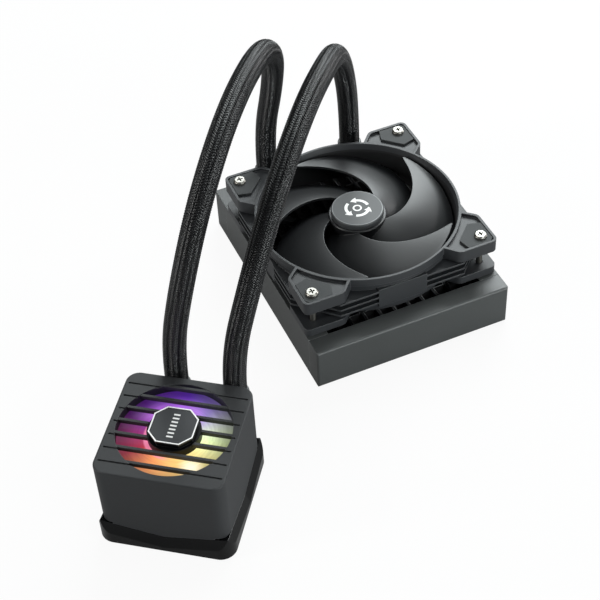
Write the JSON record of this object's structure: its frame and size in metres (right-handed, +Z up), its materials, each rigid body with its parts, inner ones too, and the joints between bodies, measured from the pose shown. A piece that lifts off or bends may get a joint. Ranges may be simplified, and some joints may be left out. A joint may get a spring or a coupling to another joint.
{
  "type": "all in one liquid cooler",
  "caption": "Closed loop liquid cooler for a computer processor: a finned radiator with a fan, two braided hoses and a square pump block with a lit grille.",
  "frame": {"origin": "centre of the square pattern of case holes, on the underside of the radiator and on the fan's axis", "axes": "+Z up out of the fan, +Y along the radiator towards the hose fittings, +X along its short edge"},
  "size_m": [0.2632, 0.24, 0.1945],
  "materials": {
    "radiator_paint": "satin black paint on aluminium",
    "fin_paint": "matte black paint on thin folded fins",
    "fan_plastic": "fine grained dark grey moulded plastic",
    "pad_rubber": "matte dark grey rubber",
    "screw_steel": "bright zinc plated steel",
    "bronze": "sintered bronze",
    "circuit_board": "green circuit board",
    "iron_core": "laminated iron core",
    "rotor_plastic": "satin dark grey moulded plastic",
    "cap_plastic": "grey cap with a fine grain",
    "hose_sleeve": "black braided sleeve",
    "ferrule_black": "black crimped sleeve",
    "fitting_plastic": "black moulded fitting",
    "skirt_gloss": "polished black plastic",
    "copper": "machined copper",
    "seal_rubber": "black seal",
    "housing_plastic": "black glass filled plastic",
    "light_diffuser": "translucent white disc lit from below",
    "cover_plastic": "dark grey moulded cover with a fine grain",
    "badge_gloss": "black block of the badge",
    "badge_bright": "bright rim",
    "badge_dark": "dark grey face"
  },
  "bodies": {
    "cooler": {"radiator_tubes": "radiator_paint", "radiator_fins": "fin_paint", "front_tank": "radiator_paint", "rear_tank": "radiator_paint", "side_channel_left": "radiator_paint", "side_channel_right": "radiator_paint", "fan_frame": "fan_plastic", "fan_pads": "pad_rubber", "fan_screws": "screw_steel", "fan_bearing": "bronze", "fan_circuit_board": "circuit_board", "fan_stator": "iron_core", "hose_left": "hose_sleeve", "hose_right": "hose_sleeve", "radiator_fitting_left": "ferrule_black", "radiator_fitting_right": "ferrule_black", "radiator_ferrule_left": "ferrule_black", "radiator_ferrule_right": "ferrule_black", "pump_elbow_left": "fitting_plastic", "pump_elbow_right": "fitting_plastic", "pump_ferrule_left": "ferrule_black", "pump_ferrule_right": "ferrule_black", "base_skirt": "skirt_gloss", "cold_plate": "copper", "cold_plate_screws": "screw_steel", "cold_plate_seal": "seal_rubber", "pump_housing": "housing_plastic", "pump_shaft": "screw_steel", "pump_stator": "iron_core", "pump_board": "circuit_board", "light_board": "circuit_board", "light_disc": "light_diffuser", "pump_cover": "cover_plastic", "badge_block": "badge_gloss", "badge_rim": "badge_bright", "badge_face": "badge_dark"},
    "fan_rotor": {"fan_rotor": "rotor_plastic", "hub_cap": "cap_plastic", "rotor_magnet": "iron_core", "rotor_shaft": "screw_steel"},
    "pump_impeller": {"pump_impeller": "housing_plastic", "pump_magnet": "iron_core"}
  },
  "joints": [
    {"name": "fan_spin", "type": "hinge", "parent": "cooler", "child": "fan_rotor", "pos_m": [0, 0, 0.035], "axis": [0, 0, 1], "continuous": true},
    {"name": "impeller_spin", "type": "hinge", "parent": "cooler", "child": "pump_impeller", "pos_m": [-0.1555, -0.1128, 0.02], "axis": [0, 0, 1], "continuous": true}
  ]
}
